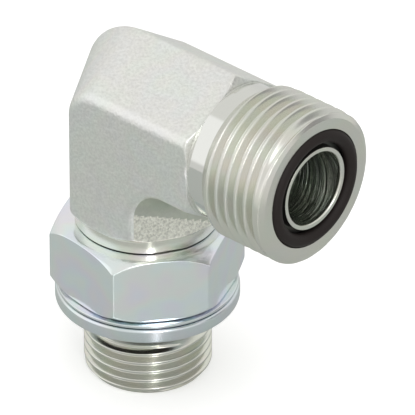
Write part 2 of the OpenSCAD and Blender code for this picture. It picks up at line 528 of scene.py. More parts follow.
FORGED = Finish("forged_zinc", (0.82, 0.83, 0.80), 0.40, grain=0.9, grain_scale=2600.0, film=0.01,
                mottle=0.06)
TURNED_X = Finish("turned_zinc_arm", (0.755, 0.755, 0.695), 0.25, lines=0.2, along=(1.0, 0.0), film=0.012)
TURNED_Z = Finish("turned_zinc_stud", (0.79, 0.79, 0.72), 0.22, lines=0.2, along=(0.0, 1.0), film=0.012)
# The bore's tool marks carry painted glints along their ridges.
BORED = Finish("bored_steel", (0.88, 0.93, 0.84), 0.22, lines=1.0, line_scale=3600.0, line_depth=0.12,
               glint_tone=0.66, along=(1.0, 0.35))
# Coarse blasted grain, and a lighter colour that paints the light bounced from the floor onto the leg's face
# below the arm.
COARSE_AND_LIT_ZINC = Finish("coarse_and_lit_zinc", (0.865, 0.85, 0.775), 0.34, grain=1.0, grain_scale=3000.0, film=0.0,
              mottle=0.22)
# Painted shade: a darker copy of the forged finish, for the leg's face where the arm's shade falls.
PAINTED_SHADE_ZINC = Finish("painted_arm_shade_zinc", (0.56, 0.585, 0.52), 0.4, grain=0.9, grain_scale=1500.0, film=0.01,
                mottle=0.04)
NECK = Finish("neck_zinc", (0.765, 0.77, 0.735), 0.07, lines=0.06, along=(1.0, 0.0), film=0.0)
# Painted shade: near black for the walls and floor of the seal groove, where shade falls round the O-ring.
GROOVE_SHADE_PAINT = Finish("painted_groove_shade", (0.14, 0.14, 0.13), 0.5)
NUT_ZINC = Finish("nut_zinc", (0.855, 0.885, 0.92), 0.16, film=0.03)
RING_ZINC = Finish("ring_zinc", (0.76, 0.81, 0.83), 0.24, film=0.02, lines=0.1, along=(0.0, 1.0))
NITRILE = Rubber("nitrile_rubber", (0.016, 0.011, 0.010), 0.6)


def spread(cuts: int) -> np.ndarray:
    """Places the cuts of a straight run, with one close to each of its ends.

    Args:
        cuts: Number of pieces.

    Returns:
        The places from 0 to 1.
    """
    if cuts < 3:
        return np.linspace(0.0, 1.0, cuts + 1)
    return np.concatenate([[0.0], np.linspace(0.03, 0.97, cuts - 1), [1.0]])


def rounded_path(points: np.ndarray, radii: Sequence[float], cuts: Sequence[int],
                 corner: int = ROUNDING_CUTS) -> np.ndarray:
    """Samples polylines whose inner corners are rounded, one polyline a column.

    Args:
        points: Waypoints as [column, waypoint, coordinate].
        radii: Setback of each waypoint's rounding; the two ends are not rounded.
        cuts: Number of pieces into which each straight run is cut.
        corner: Number of pieces of each rounding.

    Returns:
        The samples as [column, sample, coordinate].
    """
    runs = np.linalg.norm(np.diff(points, axis=1), axis=2)
    count = points.shape[1]
    leave = [points[:, 0]]
    arrive: list[np.ndarray] = []
    rounds: list[np.ndarray] = []
    for i in range(1, count - 1):
        room = RUN_SHARE * np.minimum(runs[:, i - 1], runs[:, i])
        back = np.minimum(radii[i], room)[:, None]
        here = points[:, i]
        to_last = (points[:, i - 1] - here) / np.maximum(runs[:, i - 1], 1e-12)[:, None]
        to_next = (points[:, i + 1] - here) / np.maximum(runs[:, i], 1e-12)[:, None]
        a, b = here + to_last * back, here + to_next * back
        t = np.linspace(0.0, 1.0, corner + 1)[None, :, None]
        rounds.append((1 - t) ** 2 * a[:, None] + 2 * t * (1 - t) * here[:, None] + t ** 2 * b[:, None])
        arrive.append(a)
        leave.append(b)
    arrive.append(points[:, -1])
    parts = []
    for i in range(count - 1):
        t = spread(cuts[i])[None, :, None]
        run = leave[i][:, None] * (1 - t) + arrive[i][:, None] * t
        parts.append(run if i == 0 else run[:, 1:])
        if i < count - 2:
            parts.append(rounds[i][:, 1:])
    return np.concatenate(parts, axis=1)


def make_object(name: str, mesh: bpy.types.Mesh) -> bpy.types.Object:
    """Links a mesh to the scene as an object at the origin.

    Args:
        name: The object's name.
        mesh: The mesh.

    Returns:
        The object.
    """
    made = bpy.data.objects.new(name, mesh)
    bpy.context.scene.collection.objects.link(made)
    return made


@dataclass
class Skin:
    """Collects lofted grids and turns them into one mesh."""

    name: str
    points: list[np.ndarray] = field(default_factory=list)
    faces: list[np.ndarray] = field(default_factory=list)
    slots: list[np.ndarray] = field(default_factory=list)
    total: int = 0

    def loft(self, grid: np.ndarray, slot: Union[int, np.ndarray] = 0) -> None:
        """Adds a closed loft of columns, whose outside lies to the right of a rising row.

        Args:
            grid: Samples as [column, row, xyz], in millimetres, with the columns counterclockwise.
            slot: Material index, one index a row of faces, or one for each face.
        """
        columns, rows = grid.shape[:2]
        index = self.total + np.arange(columns * rows).reshape(columns, rows)
        after = np.roll(index, -1, axis=0)
        quads = np.stack([index[:, :-1], after[:, :-1], after[:, 1:], index[:, 1:]], axis=-1)
        self.points.append(grid.reshape(-1, 3))
        self.faces.append(quads.reshape(-1, 4))
        self.slots.append(np.broadcast_to(np.asarray(slot), (columns, rows - 1)).reshape(-1)
                          .astype(np.int32))
        self.total += columns * rows

    def build(self, finishes: Sequence[Surface]) -> bpy.types.Object:
        """Builds the mesh object.

        Args:
            finishes: The finishes, in the order of the material indices.

        Returns:
            The object.
        """
        pts = np.concatenate(self.points) * MM
        quads = np.concatenate(self.faces)
        mesh = bpy.data.meshes.new(self.name)
        mesh.from_pydata(pts.tolist(), [], quads.tolist())
        for finish in finishes:
            mesh.materials.append(finish.material())
        mesh.polygons.foreach_set("material_index", np.concatenate(self.slots))
        mesh.validate()
        mesh.polygons.foreach_set("use_smooth", np.ones(len(mesh.polygons), dtype=bool))
        mesh.update()
        return make_object(self.name, mesh)


def turned(profile: np.ndarray, steps: int = ROUND_STEPS) -> np.ndarray:
    """Turns a profile round Z.

    Args:
        profile: Rows of [radius, height].
        steps: Number of columns.

    Returns:
        The grid as [column, row, xyz].
    """
    angle = np.linspace(0.0, 2 * math.pi, steps, endpoint=False)[:, None]
    radius, height = profile[None, :, 0], profile[None, :, 1]
    return np.stack([radius * np.cos(angle), radius * np.sin(angle),
                     np.broadcast_to(height, (steps, profile.shape[0]))], axis=-1)


def round_profile(points: Iterable[Sequence[float]], radii: Sequence[float], cuts: Sequence[int],
                  corner: int = ROUNDING_CUTS) -> np.ndarray:
    """Samples one profile with rounded corners.

    Args:
        points: Waypoints as [radius, height].
        radii: Setbacks of the waypoints.
        cuts: Pieces of the straight runs.
        corner: Pieces of each rounding.

    Returns:
        The samples.
    """
    return rounded_path(np.array([list(points)], float), radii, cuts, corner)[0]


def onto_arm(grid: np.ndarray, height: float) -> np.ndarray:
    """Moves a grid that was turned round Z onto the arm's axis, looking along +X.

    Args:
        grid: The grid.
        height: Height of the arm's axis.

    Returns:
        The moved grid.
    """
    x, y, z = grid[..., 0], grid[..., 1], grid[..., 2]
    return np.stack([z, y, height - x], axis=-1)


class NodeShape:
    """A geometry node tree with named inputs that yields a plain mesh."""

    title = "Shape"
    inputs: dict[str, tuple[str, object]] = {}

    def __init__(self) -> None:
        """Makes the tree with its named inputs."""
        self.tree = bpy.data.node_groups.new(self.title, "GeometryNodeTree")
        self.ids: dict[str, str] = {}
        for name, (kind, value) in self.inputs.items():
            made = self.tree.interface.new_socket(name=name, in_out="INPUT", socket_type=kind)
            if value is not None:
                made.default_value = value
            self.ids[name] = made.identifier
        self.tree.interface.new_socket(name="Geometry", in_out="OUTPUT", socket_type="NodeSocketGeometry")
        graph = Graph(self.tree)
        source = graph.add("NodeGroupInput")
        shape = self.fill(graph, source)
        smooth = graph.node("GeometryNodeSetShadeSmooth", {"Geometry": shape, "Shade Smooth": True})
        real = graph.node("GeometryNodeRealizeInstances", {"Geometry": smooth.outputs[0]})
        finish = graph.node("GeometryNodeSetMaterial", {"Geometry": real.outputs[0],
                                                        "Material": source.outputs["Finish"]})
        sink = graph.add("NodeGroupOutput")
        graph.feed(sink.inputs[0], finish.outputs[0])

    def fill(self, graph: Graph, source: bpy.types.Node) -> Socket:
        """Adds the nodes of the shape.

        Args:
            graph: The tree's graph.
            source: The group's input node.

        Returns:
            The socket with the geometry.
        """
        raise NotImplementedError

    def mesh(self, name: str, **values: object) -> bpy.types.Mesh:
        """Evaluates the tree into a plain mesh.

        Args:
            name: The mesh's name.
            **values: Input values by name, with underscores for spaces.

        Returns:
            The mesh.
        """
        holder = make_object(f"{name}_source", bpy.data.meshes.new(f"{name}_source"))
        modifier = holder.modifiers.new(self.title, "NODES")
        modifier.node_group = self.tree
        for key, value in values.items():
            modifier[self.ids[key.replace("_", " ")]] = value
        bpy.context.view_layer.update()
        graph = bpy.context.evaluated_depsgraph_get()
        made = bpy.data.meshes.new_from_object(holder.evaluated_get(graph))
        made.name = name
        holder.modifiers.remove(modifier)
        bpy.data.objects.remove(holder)
        return made


class HelicalThread(NodeShape):
    """A turned bar with a right hand thread groove that runs round it as a true helix."""

    title = "HelicalThread"
    inputs = {
        "Finish": ("NodeSocketMaterial", None),
        "Start": ("NodeSocketFloat", 0.0),
        "Length": ("NodeSocketFloat", 0.01),
        "Grid Length": ("NodeSocketFloat", 0.01),
        "Pitch": ("NodeSocketFloat", 0.0015),
        "Phase": ("NodeSocketFloat", 0.0),
        "Crest Radius": ("NodeSocketFloat", 0.01),
        "Depth": ("NodeSocketFloat", 0.001),
        "Flank Share": ("NodeSocketFloat", 0.35),
        "Root Share": ("NodeSocketFloat", 0.17),
        "First Groove": ("NodeSocketFloat", 0.0),
        "Last Groove": ("NodeSocketFloat", 0.01),
        "Run Out": ("NodeSocketFloat", 0.0005),
        "Start Radius": ("NodeSocketFloat", 0.009),
        "Start Ramp": ("NodeSocketFloat", 0.001),
        "End Radius": ("NodeSocketFloat", 0.009),
        "End Ramp": ("NodeSocketFloat", 0.001),
        "Columns": ("NodeSocketInt", ROUND_STEPS + 1),
        "Rows": ("NodeSocketInt", 200),
        "Move": ("NodeSocketVector", (0.0, 0.0, 0.0)),
        "Turn": ("NodeSocketVector", (0.0, 0.0, 0.0)),
    }

    def fill(self, graph: Graph, source: bpy.types.Node) -> Socket:
        """Adds the nodes of the thread.

        Args:
            graph: The tree's graph.
            source: The group's input node.

        Returns:
            The socket with the geometry.
        """
        m, i = graph.math, source.outputs
        grid = graph.node("GeometryNodeMeshGrid", {"Size X": 1.0, "Size Y": 1.0,
                                                   "Vertices X": i["Columns"], "Vertices Y": i["Rows"]})
        at = graph.node("ShaderNodeSeparateXYZ", {0: graph.add("GeometryNodeInputPosition").outputs[0]})
        round_share = m("ADD", at.outputs[0], 0.5)
        along_share = m("ADD", at.outputs[1], 0.5)
        end = m("ADD", i["Start"], i["Length"])
        # The rows follow the helix, so one turn moves them by one pitch and the seam closes.
        raw = m("ADD", m("SUBTRACT", i["Start"], i["Pitch"]),
                m("ADD", m("MULTIPLY", round_share, i["Pitch"]),
                  m("MULTIPLY", along_share, m("ADD", i["Grid Length"], i["Pitch"]))))
        height = m("MINIMUM", m("MAXIMUM", raw, i["Start"]), end)
        # Position within the groove that passes here, counted in turns of the helix.
        turns = m("DIVIDE", m("SUBTRACT", m("SUBTRACT", height, i["Phase"]),
                              m("MULTIPLY", round_share, i["Pitch"])), i["Pitch"])
        whole = m("FLOOR", m("ADD", turns, 0.5))
        away = m("ABSOLUTE", m("SUBTRACT", turns, whole))
        flank = m("DIVIDE", m("SUBTRACT", away, m("MULTIPLY", i["Root Share"], 0.5)),
                  i["Flank Share"])
        eased = graph.ramp(flank, 0.0, 1.0, smooth=True)
        straight = graph.ramp(flank, 0.0, 1.0)
        # The flanks are mostly straight, with eased crests and roots.
        rise = m("ADD", m("MULTIPLY", straight, 0.72), m("MULTIPLY", eased, 0.28))
        # The groove fades in and out along its own length.
        centre = m("ADD", i["Phase"], m("MULTIPLY", m("ADD", whole, round_share), i["Pitch"]))
        fade = m("MULTIPLY",
                 graph.ramp(centre, i["First Groove"], m("ADD", i["First Groove"], i["Run Out"]), True),
                 graph.ramp(centre, i["Last Groove"], m("SUBTRACT", i["Last Groove"], i["Run Out"]), True))
        cut = m("MULTIPLY", m("MULTIPLY", i["Depth"], m("SUBTRACT", 1.0, rise)), fade)
        thread = m("SUBTRACT", i["Crest Radius"], cut)
        first = m("ADD", i["Start Radius"],
                  m("MULTIPLY", m("SUBTRACT", height, i["Start"]),
                    m("DIVIDE", m("SUBTRACT", i["Crest Radius"], i["Start Radius"]), i["Start Ramp"])))
        last = m("ADD", i["End Radius"],
                 m("MULTIPLY", m("SUBTRACT", end, height),
                   m("DIVIDE", m("SUBTRACT", i["Crest Radius"], i["End Radius"]), i["End Ramp"])))
        radius = m("MINIMUM", thread, m("MINIMUM", first, last))
        angle = m("MULTIPLY", round_share, 2 * math.pi)
        place = graph.node("ShaderNodeCombineXYZ", {0: m("MULTIPLY", radius, m("COSINE", angle)),
                                                    1: m("MULTIPLY", radius, m("SINE", angle)),
                                                    2: height})
        put = graph.node("GeometryNodeSetPosition", {"Geometry": grid.outputs[0],
                                                     "Position": place.outputs[0]})
        joined = graph.node("GeometryNodeMergeByDistance", {"Geometry": put.outputs[0],
                                                            "Distance": 0.0005 * MM})
        moved = graph.node("GeometryNodeTransform", {"Geometry": joined.outputs[0],
                                                     "Translation": i["Move"], "Rotation": i["Turn"]})
        return moved.outputs[0]


class SweptRing(NodeShape):
    """A ring whose rounded rectangular or round section is swept along a circle."""

    title = "SweptRing"
    inputs = {
        "Finish": ("NodeSocketMaterial", None),
        "Radius": ("NodeSocketFloat", 0.01),
        "Width": ("NodeSocketFloat", 0.002),
        "Height": ("NodeSocketFloat", 0.002),
        "Rounding": ("NodeSocketFloat", 0.0003),
        "Rounding Steps": ("NodeSocketInt", ROUNDING_CUTS),
        "Steps": ("NodeSocketInt", ROUND_STEPS),
        "Move": ("NodeSocketVector", (0.0, 0.0, 0.0)),
        "Turn": ("NodeSocketVector", (0.0, 0.0, 0.0)),
    }

    def fill(self, graph: Graph, source: bpy.types.Node) -> Socket:
        """Adds the nodes of the ring.

        Args:
            graph: The tree's graph.
            source: The group's input node.

        Returns:
            The socket with the geometry.
        """
        i = source.outputs
        path = graph.node("GeometryNodeCurvePrimitiveCircle", {"Resolution": i["Steps"],
                                                               "Radius": i["Radius"]})
        section = graph.node("GeometryNodeCurvePrimitiveQuadrilateral", {"Width": i["Width"],
                                                                         "Height": i["Height"]})
        soft = graph.node("GeometryNodeFilletCurve", {"Curve": section.outputs[0],
                                                      "Radius": i["Rounding"],
                                                      "Count": i["Rounding Steps"],
                                                      "Limit Radius": True}, mode="POLY")
        swept = graph.node("GeometryNodeCurveToMesh", {"Curve": path.outputs[0],
                                                       "Profile Curve": soft.outputs[0]})
        moved = graph.node("GeometryNodeTransform", {"Geometry": swept.outputs[0],
                                                     "Translation": i["Move"], "Rotation": i["Turn"]})
        return moved.outputs[0]


@dataclass(frozen=True)
class ForgingSize:
    """Sizes of the forging, in millimetres, with the ridges a little sharper than the solid's."""

    arm_height: float = 38.8
    front_flat: float = -9.3
    back_flat: float = 8.95
    ridge_shift: float = 0.6
    half_edge: float = 5.1
    ridge: float = 10.8
    flat_edge_r: float = 1.8
    ridge_edge_r: float = 0.45
    outer_bend_r: float = 4.4
    inner_bend_r: float = 5.5
    arm_end_x: float = 15.3
    arm_rim_r: float = 9.5
    collar_r: float = 9.3
    collar_z: float = 22.55
    collar_h: float = 1.85
    # Bounds of the leg's painted zones: the lit coarse patch below a sloping top, the painted shade above
    # it.
    lit_coarse_top_z: float = 29.2
    lit_coarse_slope: float = 0.62
    painted_zone_inset: float = 0.4

    @property
    def outer_offset(self) -> float:
        """Offset of the outer bend's centre from the crossing of the axes."""
        return self.half_edge - self.outer_bend_r

    @property
    def inner_offset(self) -> float:
        """Offset of the inner bend's centre from the crossing of the axes."""
        return self.half_edge + self.inner_bend_r


@dataclass(frozen=True)
class FaceSealSize:
    """Sizes of the face seal end, in millimetres, with its thread form in shares of the pitch."""

    face_x: float = 28.6
    crest_r: float = 10.32
    pitch: float = 1.5875
    neck_r: float = 9.2
    neck_end_x: float = 17.8
    first_crest_x: float = 19.21
    chamfer_x: float = 0.5
    flat_r: float = 9.45
    groove_r: float = 8.0
    lip_r: float = 5.575
    bore_r: float = 4.95
    bore_bevel: float = 0.12
    bore_bevel_h: float = 0.2
    bore_start: float = 0.6
    groove_depth: float = 1.3
    groove_shade: float = 0.3
    cord: float = 1.78
    play: float = 0.03


@dataclass(frozen=True)
class StudSize:
    """Sizes of the stud, in millimetres."""

    crest_r: float = 8.31
    pitch: float = 1.337
    foot_r: float = 7.45
    first_crest_z: float = 1.1
    port_top_z: float = 6.669
    relief_r: float = 7.25
    relief_top_z: float = 13.25
    bore_r: float = 4.5
    bore_bevel: float = 0.4
    bore_start: float = 0.6

    @property
    def relief_depth(self) -> float:
        """Depth of the relief below the crests."""
        return self.crest_r - self.relief_r


@dataclass(frozen=True)
class NutSize:
    """Sizes of the locknut, in millimetres, and its turn in degrees."""

    bottom_z: float = 13.21
    top_z: float = 22.45
    flat_r: float = 11.0
    face_r: float = 10.3
    bore_r: float = 8.37
    bore_bevel: float = 0.6
    bore_seam: float = 5.0
    turn: float = -8.3
    corner_r: float = 0.05
    corner_drop: float = 1.4


@dataclass(frozen=True)
class StackSize:
    """Sizes of the washer, the retaining ring and the stud's seal ring, in millimetres."""

    washer_z: float = 12.58
    washer_t: float = 0.6
    joint: float = 0.14
    washer_r: float = 11.8
    washer_bore_r: float = 8.46
    washer_edge_r: float = 0.18
    ring_z: float = 10.55
    ring_t: float = 2.0
    ring_r: float = 11.95
    ring_bore_r: float = 9.65
    ring_edge_r: float = 0.45
    seal_cord: float = 2.3
    seal_r: float = 8.43
    seal_z: float = 11.4


@dataclass(frozen=True)
class ThreadForm:
    """The groove of a thread, in shares of its pitch: its depth, one flank and the root."""

    depth: float
    flank: float
    root: float


FACE_FORM = ThreadForm(depth=0.6134, flank=0.354, root=0.167)
PORT_FORM = ThreadForm(depth=0.6403, flank=0.333, root=0.169)


@dataclass(frozen=True)
class ThreadRun:
    """A threaded stretch of a bar, with all places in millimetres along the bar's axis.

    A groove's centre lies at phase at angle zero. The groove cuts from first to last and fades over
    run_out at both ends. One cone rises from start_r to the crests over start_ramp, and one falls from
    them to end_r over end_ramp.
    """

    name: str
    finish: Finish
    form: ThreadForm
    pitch: float
    crest_r: float
    start: float
    end: float
    phase: float
    first: float
    last: float
    run_out: float
    start_r: float
    start_ramp: float
    end_r: float
    end_ramp: float
    move: Place = (0.0, 0.0, 0.0)
    turn: Place = (0.0, 0.0, 0.0)

    def build(self, tree: HelicalThread) -> bpy.types.Object:
        """Builds the stretch.

        Args:
            tree: The thread tree.

        Returns:
            The object.
        """
        rows = PITCH_ROWS * math.ceil((self.end - self.start + self.pitch) / self.pitch)
        # The grid always holds whole pitches; what runs past the end is clamped onto it.
        length = rows / PITCH_ROWS * self.pitch - self.pitch
        sizes = {"Start": self.start, "Length": self.end - self.start, "Grid Length": length,
                 "Pitch": self.pitch, "Phase": self.phase, "Crest Radius": self.crest_r,
                 "Depth": self.form.depth * self.pitch, "First Groove": self.first,
                 "Last Groove": self.last, "Run Out": self.run_out, "Start Radius": self.start_r,
                 "Start Ramp": self.start_ramp, "End Radius": self.end_r, "End Ramp": self.end_ramp}
        values = {key: size * MM for key, size in sizes.items()}
        values.update({"Finish": self.finish.material(), "Flank Share": self.form.flank,
                       "Root Share": self.form.root, "Columns": ROUND_STEPS + 1, "Rows": rows + 1,
                       "Move": tuple(v * MM for v in self.move), "Turn": self.turn})
        return make_object(self.name, tree.mesh(self.name, **values))


class Zone(IntEnum):
    """The zones of the forging's skin, in the order of its finishes."""

    PLAIN = 0
    COLLAR = 1
    COARSE_AND_LIT = 2
    PAINTED_SHADE = 3
    NECK = 4


@dataclass(frozen=True)
class Elbow:
    """The forged and turned elbow body with its face seal ring."""

    thread: HelicalThread
    ring: SweptRing
    forging: ForgingSize = ForgingSize()
    face: FaceSealSize = FaceSealSize()
    stud: StudSize = StudSize()

    def section(self) -> np.ndarray:
        """Samples the rounded hexagon of the forging.

        Returns:
            Rows of [outward, across].
        """
        f = self.forging
        corners = np.array([[f.ridge, f.ridge_shift], [f.half_edge, f.back_flat],
                            [-f.half_edge, f.back_flat], [-f.ridge, f.ridge_shift],
                            [-f.half_edge, f.front_flat], [f.half_edge, f.front_flat]])
        radii = [f.ridge_edge_r, f.flat_edge_r, f.flat_edge_r] * 2
        arcs = []
        for i, corner in enumerate(corners):
            a = corners[i - 1] - corner
            b = corners[(i + 1) % 6] - corner
            a, b = a / np.linalg.norm(a), b / np.linalg.norm(b)
            half = math.acos(float(np.clip(a @ b, -1, 1))) / 2
            centre = corner + (a + b) / np.linalg.norm(a + b) * radii[i] / math.sin(half)
            start = corner + a * radii[i] / math.tan(half) - centre
            stop = corner + b * radii[i] / math.tan(half) - centre
            t0, t1 = math.atan2(start[1], start[0]), math.atan2(stop[1], stop[0])
            sweep = (t1 - t0 + math.pi) % (2 * math.pi) - math.pi
            t = t0 + sweep * np.linspace(0, 1, 13)
            arcs.append(centre + radii[i] * np.stack([np.cos(t), np.sin(t)], axis=-1))
        pieces = []
        for i, arc in enumerate(arcs):
            pieces.append(arc)
            after = arcs[(i + 1) % 6]
            t = spread(12)[1:-1, None]
            pieces.append(arc[-1] * (1 - t) + after[0] * t)
        return np.concatenate(pieces)[::-1]

    @staticmethod
    def leg_ring(away: np.ndarray, radius: np.ndarray, z: Union[float, np.ndarray]) -> np.ndarray:
        """Places one ring of the section round the leg.

        Args:
            away: Direction of each column, as [outward, across].
            radius: Distance of each column from the leg's axis.
            z: Height of each column, or of all.

        Returns:
            The ring as [column, xyz].
        """
        return np.stack([-away[:, 0] * radius, away[:, 1] * radius, np.broadcast_to(z, radius.shape)],
                        axis=-1)

    def arm_ring(self, away: np.ndarray, radius: np.ndarray, x: Union[float, np.ndarray]) -> np.ndarray:
        """Places one ring of the section round the arm.

        Args:
            away: Direction of each column, as [outward, across].
            radius: Distance of each column from the arm's axis.
            x: Place of each column along the arm, or of all.

        Returns:
            The ring as [column, xyz].
        """
        return np.stack([np.broadcast_to(x, radius.shape), away[:, 1] * radius,
                         self.forging.arm_height + away[:, 0] * radius], axis=-1)

    def forging_grid(self) -> tuple[np.ndarray, np.ndarray]:
        """Lofts the forging from the collar through the bend to the neck.

        Returns:
            The grid and the material index of each row of faces.
        """
        f, s = self.forging, self.face
        outline = self.section()
        w, y = outline[:, 0], outline[:, 1]
        rho = np.hypot(w, y)
        away = outline / rho[:, None]
        centre = np.where(w > 0, -np.minimum(w, f.outer_offset), np.maximum(-w, f.inner_offset))
        collar = np.minimum(f.collar_r, rho)
        stub = np.full_like(rho, self.stud.crest_r)
        top = f.collar_z + f.collar_h
        leg = [(stub, f.collar_z), (collar, f.collar_z), (collar, top), (rho, top + (rho - collar) * TAN30),
               (rho, f.arm_height - centre)]
        leg_cuts = [2, 8, 6, 40]
        low = rounded_path(np.stack([self.leg_ring(away, *level) for level in leg], axis=1),
                           [0, 0.18, 0.25, 0.5, 0], leg_cuts)
        quarter = np.linspace(0, math.pi / 2, 33)[None, 1:-1]
        radius, middle = (w + centre)[:, None], centre[:, None]
        bend = np.stack([middle - radius * np.cos(quarter),
                         np.broadcast_to(y[:, None], (len(w), quarter.shape[1])),
                         f.arm_height - middle + radius * np.sin(quarter)], axis=-1)
        rim = np.minimum(f.arm_rim_r, rho)
        neck = np.full_like(rho, s.neck_r)
        arm = [(rho, centre), (rho, f.arm_end_x - (rho - rim) * TAN30), (rim, f.arm_end_x),
               (neck, f.arm_end_x), (neck, s.neck_end_x)]
        arm_cuts = [18, 6, 2, 8]
        high = rounded_path(np.stack([self.arm_ring(away, *level) for level in arm], axis=1),
                            [0, 0.35, 0.12, 0.08, 0], arm_cuts)
        grid = np.concatenate([low, bend, high], axis=1)
        rows = grid.shape[1] - 1
        slots = np.full((len(w), rows), int(Zone.PLAIN))
        # The face of the leg that looks along the arm: below, coarse grain with a lighter colour painted for
        # bounced light; above, a darker colour painted for the arm's shade.
        leg_rows = low.shape[1] + bend.shape[1]
        inner = (w < -f.half_edge - f.painted_zone_inset) & (y < f.ridge_shift)
        edge = f.lit_coarse_top_z - (-w - f.half_edge) * f.lit_coarse_slope
        middle_z = (grid[:, 1:, 2] + grid[:, :-1, 2]) / 2
        below = middle_z[:, :leg_rows] < edge[:, None]
        slots[:, :leg_rows] = np.where(inner[:, None], np.where(below, Zone.COARSE_AND_LIT, Zone.PAINTED_SHADE), Zone.PLAIN)
        # The turned zones end halfway through the rounding that follows or leads to them.
        slots[:, : sum(leg_cuts[:3]) + 2 * ROUNDING_CUTS + ROUNDING_CUTS // 2] = Zone.COLLAR
        slots[:, rows - arm_cuts[-1] - ROUNDING_CUTS // 2:] = Zone.NECK
        return grid, slots

    def build_forging(self) -> bpy.types.Object:
        """Builds the forging with its collar and neck.

        Returns:
            The object.
        """
        skin = Skin("forging")
        grid, slots = self.forging_grid()
        skin.loft(grid, slots)
        return skin.build([FORGED, TURNED_Z, COARSE_AND_LIT_ZINC, PAINTED_SHADE_ZINC, NECK])

    def build_face(self) -> bpy.types.Object:
        """Builds the flat seal face with its groove and lip.

        Returns:
            The object.
        """
        s, f = self.face, self.forging
        floor = s.face_x - s.groove_depth
        profile = round_profile([(s.flat_r - 0.001, s.face_x), (s.groove_r, s.face_x), (s.groove_r, floor),
                                 (s.lip_r, floor), (s.lip_r, s.face_x), (s.bore_r + s.bore_bevel, s.face_x),
                                 (s.bore_r, s.face_x - s.bore_bevel_h), (s.bore_r, s.face_x - s.bore_start)],
                                [0, 0.08, 0.15, 0.15, 0.07, 0.05, 0.05, 0], [6, 6, 8, 6, 3, 2, 2])
        skin = Skin("seal_face")
        # The groove's walls and floor below the face take the painted shade.
        low = profile[:-1, 1] < s.face_x - s.groove_shade
        groove_shade_faces = (profile[:-1, 0] > s.lip_r - 0.05) & low
        skin.loft(onto_arm(turned(profile), f.arm_height), groove_shade_faces.astype(int))
        return skin.build([TURNED_X, GROOVE_SHADE_PAINT])

    def build_passages(self) -> bpy.types.Object:
        """Builds the walls of the two drilled passages.

        Returns:
            The object.
        """
        s, f, d = self.face, self.forging, self.stud
        skin = Skin("passages")
        tip = d.bore_r / math.tan(DRILL_POINT)
        arm_tip = s.bore_r / math.tan(DRILL_POINT)
        down = round_profile([(0.001, f.arm_height + tip), (d.bore_r, f.arm_height),
                              (d.bore_r, d.bore_start)], [0, 0, 0], [6, 160], 2)
        skin.loft(turned(down, BORE_STEPS))
        run = round_profile([(s.bore_r, s.face_x - s.bore_start), (s.bore_r, 0.0), (0.001, -arm_tip)],
                            [0, 0, 0], [120, 6], 2)
        skin.loft(onto_arm(turned(run, BORE_STEPS), f.arm_height))
        self.open_crossing(skin)
        return skin.build([BORED])

    def open_crossing(self, skin: Skin) -> None:
        """Drops the walls where the two passages run through each other.

        Args:
            skin: The skin with the stud's passage first and the arm's second.
        """
        s, f, d = self.face, self.forging, self.stud
        points = np.concatenate(skin.points)
        stud_mid = points[skin.faces[0]].mean(1)
        arm_mid = points[skin.faces[1]].mean(1)
        in_arm = ((np.hypot(stud_mid[:, 1], stud_mid[:, 2] - f.arm_height) < s.bore_r)
                  & (stud_mid[:, 0] > 0))
        in_stud = (np.hypot(arm_mid[:, 0], arm_mid[:, 1]) < d.bore_r) & (arm_mid[:, 2] < f.arm_height)
        skin.faces[0], skin.slots[0] = skin.faces[0][~in_arm], skin.slots[0][~in_arm]
        skin.faces[1], skin.slots[1] = skin.faces[1][~in_stud], skin.slots[1][~in_stud]

    def build_foot(self) -> bpy.types.Object:
        """Builds the end face of the stud and the relief.

        Returns:
            The object.
        """
        d = self.stud
        skin = Skin("stud_faces")
        end = round_profile([(d.bore_r, d.bore_start), (d.bore_r, d.bore_bevel),
                             (d.bore_r + d.bore_bevel, 0.0), (d.foot_r + 0.001, 0.0)],
                            [0, 0.05, 0.08, 0], [2, 3, 6])
        skin.loft(turned(end))
        relief = round_profile([(d.relief_r, d.port_top_z + d.relief_depth), (d.relief_r, d.relief_top_z)],
                               [0, 0], [12])
        skin.loft(turned(relief))
        return skin.build([TURNED_Z])

    def build_face_thread(self) -> bpy.types.Object:
        """Builds the thread of the face seal end.

        Returns:
            The object.
        """
        s = self.face
        return ThreadRun("face_thread", TURNED_X, FACE_FORM, s.pitch, s.crest_r, s.neck_end_x, s.face_x,
                         phase=0.0, first=19.3, last=28.2, run_out=0.6, start_r=s.neck_r,
                         start_ramp=s.first_crest_x - s.neck_end_x, end_r=s.flat_r, end_ramp=s.chamfer_x,
                         move=(0.0, 0.0, self.forging.arm_height),
                         turn=(0.0, math.pi / 2, 0.0)).build(self.thread)

    def build_stud_threads(self) -> list[bpy.types.Object]:
        """Builds the port thread and the locknut thread of the stud.

        Returns:
            The objects.
        """
        d, f = self.stud, self.forging
        port = ThreadRun("port_thread", TURNED_Z, PORT_FORM, d.pitch, d.crest_r, 0.0,
                         d.port_top_z + d.relief_depth, phase=0.56, first=0.2, last=7.33, run_out=0.3,
                         start_r=d.foot_r, start_ramp=d.first_crest_z, end_r=d.relief_r,
                         end_ramp=d.relief_depth)
        upper = ThreadRun("locknut_thread", TURNED_Z, PORT_FORM, d.pitch, d.crest_r, d.relief_top_z,
                          f.collar_z + 0.1, phase=0.0, first=13.5, last=22.0, run_out=0.5,
                          start_r=d.relief_r, start_ramp=d.relief_depth, end_r=d.crest_r - 0.001,
                          end_ramp=0.1)
        return [port.build(self.thread), upper.build(self.thread)]

